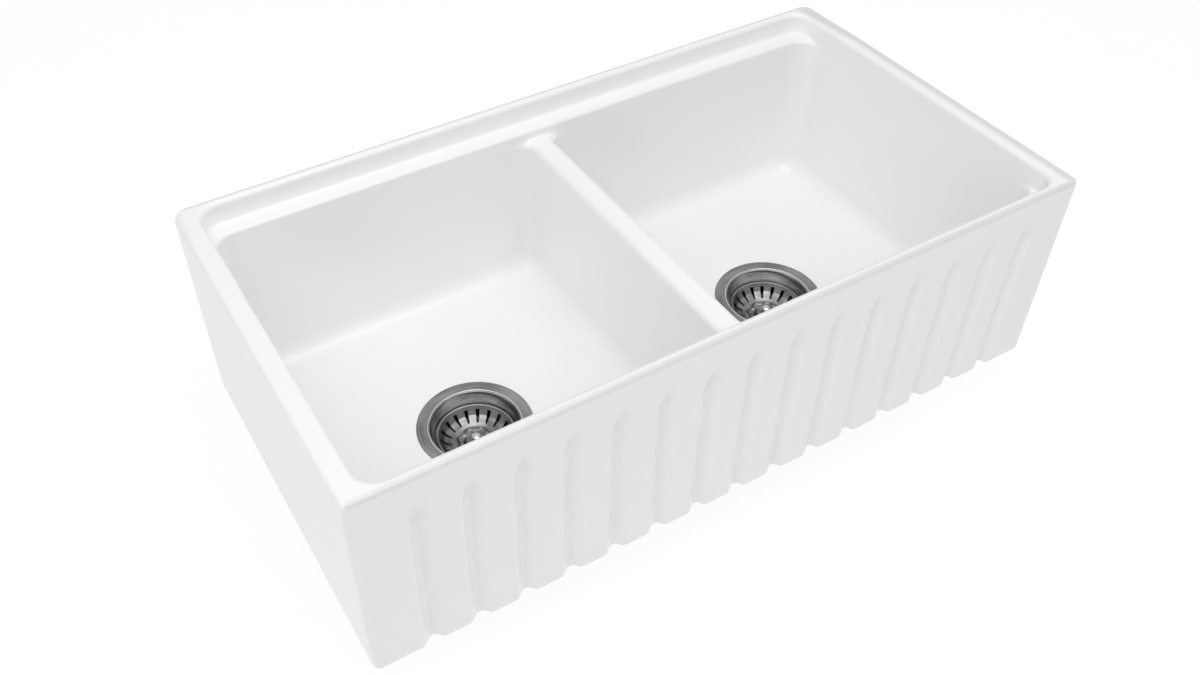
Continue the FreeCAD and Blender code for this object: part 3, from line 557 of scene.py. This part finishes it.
def lower_body(side):
    """Moulded waste body: clamping flange, bowl, funnel, threaded outlet, and a boss on webs."""
    thread_top = BODY_NECK - 5
    shell = eased([
        (BODY_FLANGE_RADIUS, BODY_TOP, 0.8), (BODY_FLANGE_RADIUS, BODY_FLANGE, 1.2),
        (BODY_RADIUS, BODY_FLANGE, 2.0), (BODY_RADIUS, BODY_KNEE, 4.0), (OUTLET_RADIUS, BODY_NECK, 4.0),
        (OUTLET_RADIUS, thread_top, 0), (OUTLET_RADIUS, BODY_END, 1.5), (OUTLET_BORE, BODY_END, 0.6),
        (OUTLET_BORE, BODY_NECK, 3.0), (BODY_RADIUS - BODY_WALL, BODY_KNEE, 3.0),
        (BODY_RADIUS - BODY_WALL, BODY_TOP, 0.6)], steps=5)
    shell = close_rows(shell, THREAD_PITCH / THREAD_ROWS, closed=True)
    points, faces = turned(shell, steps=112)
    radius, angle = np.hypot(points[:, 0], points[:, 1]), np.arctan2(points[:, 1], points[:, 0])
    height = points[:, 2]
    wave = 0.5 - 0.5 * np.cos(2 * pi * height / THREAD_PITCH + angle)
    on_thread = (radius > OUTLET_RADIUS - 0.2) & (radius < OUTLET_RADIUS + 0.2)
    cut = THREAD_DEPTH * wave * on_thread * ramp(height, thread_top, thread_top - 3)
    cut *= 1 - ramp(height, BODY_END + 3, BODY_END + 1.4)
    points[:, :2] *= (1 - cut / radius)[:, None]
    boss = turned(eased([
        (BOSS_BORE + BOSS_WALL, INSERT_TOP, 0.6), (BOSS_BORE + BOSS_WALL, BODY_NECK, 0.6),
        (BOSS_BORE, BODY_NECK, 0.3), (BOSS_BORE, INSERT_TOP, 0.3)]), steps=64)
    meshes = [(points, faces), boss]
    slope_out = (BODY_RADIUS - BODY_WALL - OUTLET_BORE) / (BODY_KNEE - BODY_NECK)
    web_top = INSERT_TOP - WEB_THICKNESS / 2
    reach = OUTLET_BORE + 1 + slope_out * (web_top - BODY_NECK)
    for n in range(WEBS):
        turn = pi / 2 + 2 * pi * n / WEBS
        along, aside = np.array((cos(turn), sin(turn), 0)), np.array((-sin(turn), cos(turn), 0))
        profile = [(BOSS_BORE + 1, web_top), (reach, web_top), (OUTLET_BORE + 1, BODY_NECK),
                   (BOSS_BORE + 1, BODY_NECK)]
        web = np.array([along * r + (0, 0, z) + aside * half * WEB_THICKNESS
                        for half in (-0.5, 0.5) for r, z in profile])
        meshes.append((web, np.array([(0, 1, 2, 3), (7, 6, 5, 4), (0, 4, 5, 1), (1, 5, 6, 2),
                                      (2, 6, 7, 3), (3, 7, 4, 0)])))
    start = np.cumsum([0] + [len(part) for part, _ in meshes])
    shape = (np.concatenate([part for part, _ in meshes]),
             np.concatenate([quads + first for (_, quads), first in zip(meshes, start)]))
    return waste_piece("lower_body", side, shape, "basin", "moulded_plastic", "waste_body")


dressed = {side: {"strainer": strainer(side), "slotted_basket": basket(side), "knob": knob(side),
                  "lower_body": lower_body(side)} for side in SIDES}


# ---------------------------------------------------------------- finishes

class Wire:
    """A shader socket in arithmetic: each operator adds its Math node."""

    def __init__(self, finish, socket):
        self.finish, self.socket = finish, socket

    def math(self, operation, one, two):
        return self.finish.node("Math", {"operation": operation}, {0: one, 1: two})

    def __add__(self, other):
        return self.math("ADD", self, other)

    def __sub__(self, other):
        return self.math("SUBTRACT", self, other)

    def __rsub__(self, other):
        return self.math("SUBTRACT", other, self)

    def __mul__(self, other):
        return self.math("MULTIPLY", self, other)

    def __truediv__(self, other):
        return self.math("DIVIDE", self, other)

    def __pow__(self, other):
        return self.math("POWER", self, other)

    def __abs__(self):
        return self.math("ABSOLUTE", self, 0)

    def least(self, other):
        return self.math("MINIMUM", self, other)

    def most(self, other):
        return self.math("MAXIMUM", self, other)

    __radd__, __rmul__ = __add__, __mul__


class Look:
    """The nodes of a material or a world."""

    def __init__(self, owner):
        owner.use_nodes = True
        self.owner, self.tree = owner, owner.node_tree
        self.tree.nodes.clear()

    def node(self, kind, settings=None, sockets=None, out=0):
        """Adds a node: settings first, then values or links on its sockets. Gives the outputs asked for."""
        added = self.tree.nodes.new("ShaderNode" + kind)
        for name, value in (settings or {}).items():
            setattr(added, name, value)
        for name, value in (sockets or {}).items():
            if isinstance(value, Wire):
                self.tree.links.new(value.socket, added.inputs[name])
            else:
                added.inputs[name].default_value = value
        if isinstance(out, tuple):
            return [Wire(self, added.outputs[name]) for name in out]
        return Wire(self, added.outputs[out]) if len(added.outputs) else added

    def place(self):
        """Where a point is on its piece, in metres."""
        return self.node("TexCoord", out="Object")

    def noise(self, scale, detail=2.0, vector=None):
        """Soft random variation from 0 to 1 with scale features in a metre."""
        where = {"Vector": vector or self.place(), "Scale": scale, "Detail": detail}
        return self.node("TexNoise", sockets=where, out="Fac")

    def blend(self, share, one, two):
        """Colour between one and two."""
        ends = [end if isinstance(end, Wire) else end + (1,) for end in (one, two)]
        return self.node("Mix", {"data_type": "RGBA"}, {0: share, 6: ends[0], 7: ends[1]}, 2)

    def bump(self, height, depth, normal=None):
        """Relief of this depth in mm."""
        sockets = {"Height": height, "Distance": depth * MM}
        if normal:
            sockets["Normal"] = normal
        return self.node("Bump", sockets=sockets)

    def end(self, **looks):
        """Ends a material with a Principled shader. looks are its sockets by name, _ for a space."""
        shader = self.node("BsdfPrincipled", sockets={name.replace("_", " "): value
                                                      for name, value in looks.items()})
        self.node("OutputMaterial", sockets={"Surface": shader})
        return self.owner


def new_finish(name):
    """A new material's nodes."""
    return Look(bpy.data.materials.new(name))


def round_the_axis(finish, across, around):
    """A vector for texture in rings: across features in a metre outward and up, around of them round."""
    x, y, z = finish.node("SeparateXYZ", sockets={0: finish.place()}, out=("X", "Y", "Z"))
    radius = (x * x + y * y) ** 0.5
    outward = radius * across + z * (0.7 * across)
    return finish.node("CombineXYZ", sockets={0: outward, 1: x / radius * around, 2: y / radius * around})


# Grey of a band painted on the rim's outer rounding as shade.
SHADED_RIM_GLAZE = (0.75, 0.75, 0.747)
LINE_REACH, LINE_FADE = 0.6, 2.4    # mm by which the band of painted shade passes a rounding, and over which it fades
LINE_WANDER = 0.6                   # mm by which its border wanders
RIGHT_END = 0.38                    # share that distances count on the right end, where the band of painted shade is wider


def rise(value, start, end):
    """0 before start, 1 after end, straight between, for a value in a shader."""
    return ((value - start) / (end - start)).most(0).least(1)


def fireclay_glaze():
    """White glaze with a faint cloud and a soft unevenness, and a greyer band painted on the rim's outer
    rounding as shade.
    """
    finish = new_finish("fireclay_glaze")
    cloud = finish.noise(7, 3)
    pooled = finish.noise(38, 2)
    peel = finish.noise(420, 2)
    flow = finish.bump(pooled, 0.03)
    glaze = finish.blend(cloud, (0.955, 0.955, 0.95), (0.943, 0.944, 0.94))
    x, y, z = finish.node("SeparateXYZ", sockets={0: finish.place()}, out=("X", "Y", "Z"))
    from_sides = (RIGHT_END * (HALF_WIDTH * MM - x)).least(HALF_DEPTH * MM - abs(y)).most(0)
    from_edge = (from_sides + HEIGHT * MM - z) / MM + LINE_WANDER * (finish.noise(90, 2) - 0.5)
    rounding = TOP_ROUND + (BACK_TOP_ROUND - TOP_ROUND) * rise(y / MM, *TO_BACK)
    # thin is the band of painted shade on the rim's outer rounding.
    thin = rise(from_edge - rounding, LINE_REACH, LINE_REACH - LINE_FADE)
    return finish.end(
        Base_Color=finish.blend(thin, glaze, SHADED_RIM_GLAZE),
        Roughness=0.22 + 0.04 * finish.noise(18, 2),
        Normal=finish.bump(peel, 0.0004, flow), IOR=1.5)


# Painted shade under the basket, where the slots look down into the cup.
UNDER_BASKET_SHADE = (0.1, 0.1, 0.099)
TO_LIP = (FLOOR + 0.2, FLOOR - 0.1)     # heights between which a strainer's flange turns to its lip, where a highlight is painted,
TO_WALL = (FLOOR - 0.5, FLOOR - 1)      # the lip to the wall with its painted reflections,
TO_SHADE = (SHOULDER_TOP + 2, SHOULDER_TOP - 1)     # and the wall to the painted shade under the basket


def spun_steel(name, light, dark, roughness, rings, streaks, inside=None):
    """Stainless steel turned or brushed in rings round the waste, with broad pale patches painted in as
    reflections and soft smudges.

    inside is the light and dark tone of the painted reflections on the wall below the bowl's floor, which
    grow lighter higher up. A highlight is painted on the lip above the wall, and painted shade makes the
    steel darkest under the basket.
    """
    finish = new_finish(name)
    brushed = finish.noise(1, 4, round_the_axis(finish, rings, 1.4))
    streak = finish.noise(1, 2, round_the_axis(finish, streaks, 2.2))
    # Broad pale patches painted in as reflections on the steel.
    sheen_patch = finish.noise(1, 1, round_the_axis(finish, 40, 1.5))
    smudge = finish.noise(55, 3)
    tone = 0.5 + 1.2 * (brushed - 0.5) + 0.8 * (streak - 0.5) + 1.6 * (sheen_patch - 0.5)
    colour = finish.blend(tone, light, dark)
    if inside:
        z = finish.node("SeparateXYZ", sockets={0: finish.place()}, out="Z")
        height = z / MM
        # Painted reflections on the wall, lighter higher up, then painted shade under the basket and a
        # painted highlight on the lip.
        wall = finish.blend((1.6 * tone + height / 12 - 1.55).most(0).least(1), *inside)
        wall = finish.blend(rise(height, *TO_SHADE), wall, UNDER_BASKET_SHADE)
        colour = finish.blend(rise(height, *TO_LIP), colour, inside[0])
        colour = finish.blend(rise(height, *TO_WALL), colour, wall)
    return finish.end(
        Base_Color=colour,
        Roughness=roughness - 0.07 + 0.12 * brushed + 0.08 * smudge,
        Normal=finish.bump(brushed, 0.012), Metallic=1.0, Anisotropic=0.35)


def moulded(name, light, dark, roughness, grain=900, depth=0.02):
    """Plastic or rubber from a mould: fine grain and a faint mottle."""
    finish = new_finish(name)
    mottle = finish.noise(120, 3)
    fine = finish.noise(grain, 3)
    return finish.end(
        Base_Color=finish.blend(mottle, light, dark),
        Roughness=roughness + 0.12 * (fine - 0.5), Normal=finish.bump(fine, depth), IOR=1.46)


def turned_metal(name, light, dark, roughness):
    """Metal turned on a lathe: fine lines along its height and a little tarnish."""
    finish = new_finish(name)
    z = finish.node("SeparateXYZ", sockets={0: finish.place()}, out="Z")
    lines = finish.noise(1, 3, finish.node("CombineXYZ", sockets={0: z * 5200}))
    tarnish = finish.noise(160, 4)
    return finish.end(
        Base_Color=finish.blend(tarnish, light, dark), Roughness=roughness + 0.14 * (lines - 0.5),
        Normal=finish.bump(lines, 0.01), Metallic=1.0)


finishes = {
    "fireclay_glaze": fireclay_glaze(),
    "strainer_steel": spun_steel("strainer_steel", (0.34, 0.34, 0.337), (0.14, 0.14, 0.139), 0.3, 800, 200,
                                 # Light and dark tones of the painted reflections and lip highlight on the
                                 # strainer's wall.
                                 inside=((0.9, 0.9, 0.89), (0.16, 0.16, 0.158))),
    "basket_steel": spun_steel("basket_steel", (0.3, 0.3, 0.297), (0.11, 0.11, 0.109), 0.28, 1200, 260),
    "bolt_steel": turned_metal("bolt_steel", (0.42, 0.42, 0.41), (0.32, 0.32, 0.31), 0.3),
    "polished_knob": spun_steel("polished_knob", (0.6, 0.6, 0.595), (0.42, 0.42, 0.417), 0.12, 900, 200),
    "soft_gasket": moulded("soft_gasket", (0.68, 0.67, 0.62), (0.6, 0.59, 0.55), 0.6),
    "black_rubber": moulded("black_rubber", (0.03, 0.03, 0.031), (0.018, 0.018, 0.019), 0.62),
    "moulded_plastic": moulded("moulded_plastic", (0.71, 0.71, 0.7), (0.66, 0.66, 0.65), 0.36, 600, 0.015),
    "turned_brass": turned_metal("turned_brass", (0.62, 0.44, 0.16), (0.5, 0.35, 0.13), 0.28),
    "clip_plastic": moulded("clip_plastic", (0.7, 0.7, 0.69), (0.64, 0.64, 0.63), 0.4),
}
KEPT_NODES = {"flange_gasket": "soft_gasket", "under_gasket": "black_rubber",
              "thread_insert": "turned_brass", "centre_bolt": "bolt_steel", "basket_seal": "black_rubber",
              "basket_stem": "bolt_steel", "stem_clip": "clip_plastic"}


def paint(piece, finish):
    """This finish on every material slot of a piece."""
    if not piece.material_slots:
        piece.data.materials.append(None)
    for slot in piece.material_slots:
        slot.link, slot.material = "OBJECT", finishes[finish]


paint(basin, "fireclay_glaze")
for side in SIDES:
    for name, finish in (("strainer", "strainer_steel"), ("slotted_basket", "basket_steel"),
                         ("knob", "polished_knob"), ("lower_body", "moulded_plastic")):
        paint(dressed[side][name], finish)
    for node, finish in KEPT_NODES.items():
        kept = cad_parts[side + "_" + node]
        paint(kept, finish)
        ease_edges(kept, SOLID_BEVEL)


# ---------------------------------------------------------------- room and light

def seen_directly(look):
    """1 for rays from the camera and in reflections, 0 for rays that only carry light."""
    camera, glossy, through = look.node(
        "LightPath", out=("Is Camera Ray", "Is Glossy Ray", "Is Transmission Ray"))
    return camera + glossy + through


FLOOR_HALF = 6000           # mm from the middle to a side
FLOOR_GAP = 0.001           # metres below the object
FLOOR_GLOW = 0.86           # share of white glow in the floor as it is seen
FLOOR_WHITE = 1.05          # strength of that glow


def pale_floor():
    """A plain floor under the wastes. Seen directly it is nearly white and keeps a faint shadow."""
    level = cad_box[0][2] - FLOOR_GAP
    mesh = bpy.data.meshes.new("floor")
    corners = [(-1, -1), (1, -1), (1, 1), (-1, 1)]
    mesh.from_pydata([(x * FLOOR_HALF * MM, y * FLOOR_HALF * MM, level) for x, y in corners],
                     [], [(0, 1, 2, 3)])
    floor = bpy.data.objects.new("floor", mesh)
    scene.collection.objects.link(floor)
    finish = new_finish("pale_floor")
    seen = seen_directly(finish)
    tone = finish.blend(finish.noise(3, 2), (0.93, 0.93, 0.93), (0.91, 0.91, 0.91))
    paint_coat = finish.node("BsdfDiffuse", sockets={"Color": tone})
    glow = finish.node("Emission", sockets={"Color": (1, 1, 1, 1), "Strength": FLOOR_WHITE})
    shown = finish.node("MixShader", sockets={0: seen * FLOOR_GLOW, 1: paint_coat, 2: glow})
    finish.node("OutputMaterial", sockets={"Surface": shown})
    mesh.materials.append(finish.owner)


def white_room(glows):
    """A world that is white where it is seen. Its light comes softly from each direction in glows."""
    scene.world = bpy.data.worlds.new("white_room")
    sky = Look(scene.world)
    seen = seen_directly(sky)
    ways = sky.node("SeparateXYZ", sockets={0: sky.node("TexCoord", out="Generated")}, out=("X", "Y", "Z"))
    light = seen
    for direction, strength in glows.items():
        toward = Vector(direction).normalized()
        facing = ways[0] * toward.x + ways[1] * toward.y + ways[2] * toward.z
        light = light + strength * (1 - seen) * facing.most(0) ** 2
    shown = sky.node("Background", sockets={"Color": (1, 1, 1, 1), "Strength": light})
    sky.node("OutputWorld", sockets={"Surface": shown})


def soft_lamp(name, place, target, size, strength):
    """A rectangular soft box. strength is its brightness, with 1 as white."""
    lamp = bpy.data.lights.new(name, "AREA")
    lamp.shape, lamp.size, lamp.size_y = "RECTANGLE", *size
    lamp.energy = strength * pi * size[0] * size[1]
    box = bpy.data.objects.new(name, lamp)
    scene.collection.objects.link(box)
    box.location = place
    aim = Vector(target) - Vector(place)
    box.rotation_euler = aim.to_track_quat("-Z", "Y").to_euler()


pale_floor()
white_room({(-1, 0, 0.47): 0.98, (1, 0, 0.47): 0.95, (0.7, -0.7, 0.47): 0.2})
soft_lamp("overhead", place=(-0.35, -0.7, 1.8), target=(0, 0, 0.12), size=(2.1, 1.6), strength=1.8)


# ---------------------------------------------------------------- camera, as the photograph was taken

PICTURE_WIDTH, PICTURE_HEIGHT = 1200, 675       # the photograph's frame, in pixels
LENS_X, LENS_Y = 554.89, 323.78                 # pixel of that frame that the lens points at
LENS, SENSOR_WIDTH = 34.90, 36.0
CAMERA_PLACE = (-0.50494, -0.72458, 0.89675)
PICTURE_RIGHT = (0.86061935, -0.5091892, -0.00779045)
PICTURE_UP = (0.35556364, 0.58987282, 0.72499969)
TO_CAMERA = (-0.36456664, -0.62671876, 0.68870513)
NEAREST, FARTHEST = 0.01, 50.0


def photo_camera():
    """Camera at the photograph's place, turned by the directions of its picture's right, up and back."""
    camera = bpy.data.objects.new("camera", bpy.data.cameras.new("camera"))
    scene.collection.objects.link(camera)
    turn = Matrix((PICTURE_RIGHT, PICTURE_UP, TO_CAMERA)).transposed().to_4x4()
    camera.matrix_world = Matrix.Translation(CAMERA_PLACE) @ turn
    camera.data.sensor_width = SENSOR_WIDTH
    camera.data.lens = LENS
    camera.data.shift_x = (PICTURE_WIDTH / 2 - LENS_X) / PICTURE_WIDTH
    camera.data.shift_y = (LENS_Y - PICTURE_HEIGHT / 2) / PICTURE_WIDTH
    camera.data.clip_start, camera.data.clip_end = NEAREST, FARTHEST
    scene.camera = camera


photo_camera()
scene.view_settings.view_transform = "Standard"
